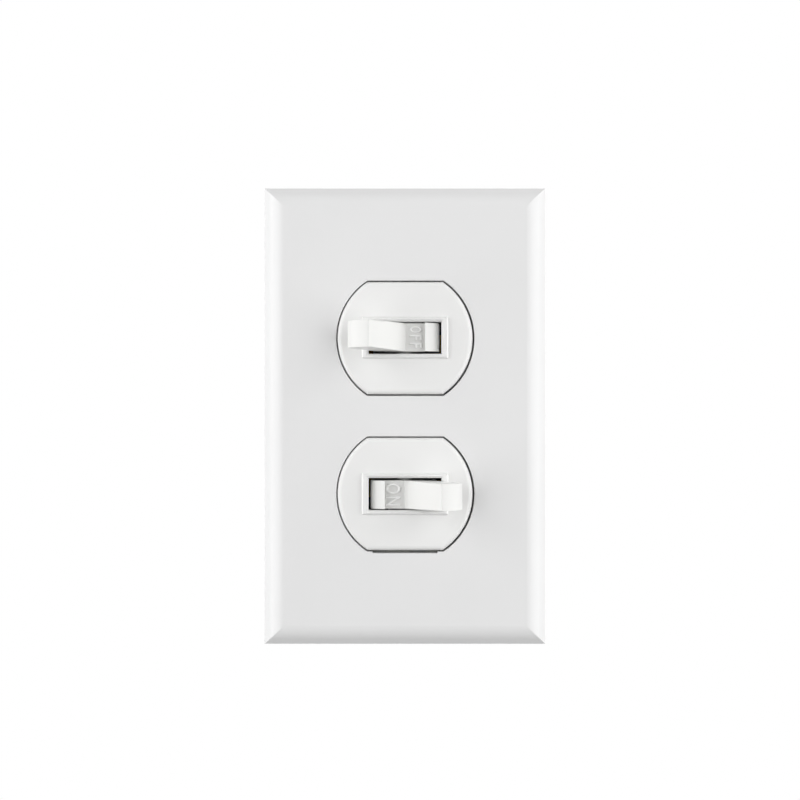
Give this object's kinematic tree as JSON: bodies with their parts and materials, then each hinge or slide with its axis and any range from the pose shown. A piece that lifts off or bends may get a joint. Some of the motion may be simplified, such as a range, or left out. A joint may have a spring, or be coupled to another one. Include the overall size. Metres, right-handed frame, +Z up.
{
  "type": "double switch plate",
  "caption": "White bevelled wall plate with no visible screws and duplex openings for sideways toggle switches, with the device and its mechanism behind it.",
  "frame": {"origin": "halfway between the two box screws, in the plane of the finished wall", "axes": "+X to the right and +Z up as seen from the room, +Y into the wall; the plate faces -Y"},
  "size_m": [0.0708, 0.0436, 0.1148],
  "materials": {
    "plate_white": "moulded, semi-gloss",
    "device_white": "moulded, semi-gloss",
    "toggle_white": "moulded, semi-gloss",
    "inner_plate_white": "moulded, matte",
    "housing_dark": "moulded thermoset, matte",
    "strap_steel": "zinc plated",
    "screw_steel": "zinc plated",
    "terminal_brass": "stamped, satin",
    "screw_brass": "turned",
    "contact_silver": "silver alloy, satin",
    "spring_steel": "drawn wire",
    "ground_green": "green finish on steel",
    "retainer_fibre": "red-brown fibre"
  },
  "bodies": {
    "device": {"wall_plate": "plate_white", "sub_plate": "inner_plate_white", "sub_plate_screw": "screw_steel", "mounting_strap": "strap_steel", "box_screws": "screw_steel", "screw_retainers": "retainer_fibre", "front_moulding": "device_white", "rear_housing": "housing_dark", "assembly_rivets": "screw_steel", "common_terminal": "terminal_brass", "terminal_screws": "screw_brass", "ground_screw": "ground_green", "fixed_contact_upper": "contact_silver", "fixed_terminal_upper": "terminal_brass", "fixed_contact_lower": "contact_silver", "fixed_terminal_lower": "terminal_brass"},
    "toggle_upper": {"toggle_upper": "toggle_white"},
    "arm_upper": {"contact_arm_upper": "terminal_brass", "moving_contact_upper": "contact_silver"},
    "spring_upper": {"toggle_spring_upper": "spring_steel"},
    "toggle_lower": {"toggle_lower": "toggle_white"},
    "arm_lower": {"contact_arm_lower": "terminal_brass", "moving_contact_lower": "contact_silver"},
    "spring_lower": {"toggle_spring_lower": "spring_steel"}
  },
  "joints": [
    {"name": "toggle_upper_hinge", "type": "hinge", "parent": "device", "child": "toggle_upper", "pos_m": [0, -0.00045, 0.01943], "axis": [0, 0, 1], "range_deg": [0, 72], "deforming": ["toggle_spring_upper"]},
    {"name": "arm_upper_rock", "type": "hinge", "parent": "device", "child": "arm_upper", "pos_m": [0, 0.0204, 0.01943], "axis": [0, 0, 1], "range_deg": [0, 18]},
    {"name": "spring_upper_swing", "type": "hinge", "parent": "arm_upper", "child": "spring_upper", "pos_m": [-0.00133, 0.01201, 0.01943], "axis": [0, 0, 1], "range_deg": [-57.8, 0]},
    {"name": "toggle_lower_hinge", "type": "hinge", "parent": "device", "child": "toggle_lower", "pos_m": [0, -0.00045, -0.01943], "axis": [0, 0, 1], "range_deg": [-72, 0], "deforming": ["toggle_spring_lower"]},
    {"name": "arm_lower_rock", "type": "hinge", "parent": "device", "child": "arm_lower", "pos_m": [0, 0.0204, -0.01943], "axis": [0, 0, 1], "range_deg": [-18, 0]},
    {"name": "spring_lower_swing", "type": "hinge", "parent": "arm_lower", "child": "spring_lower", "pos_m": [0.00133, 0.01201, -0.01943], "axis": [0, 0, 1], "range_deg": [0, 57.8]}
  ],
  "couplings": [
    {"joint": "arm_upper_rock", "follows": "toggle_upper_hinge", "ratio": 0.25},
    {"joint": "spring_upper_swing", "follows": "toggle_upper_hinge", "ratio": -0.8015},
    {"joint": "arm_lower_rock", "follows": "toggle_lower_hinge", "ratio": 0.25},
    {"joint": "spring_lower_swing", "follows": "toggle_lower_hinge", "ratio": -0.8015}
  ]
}
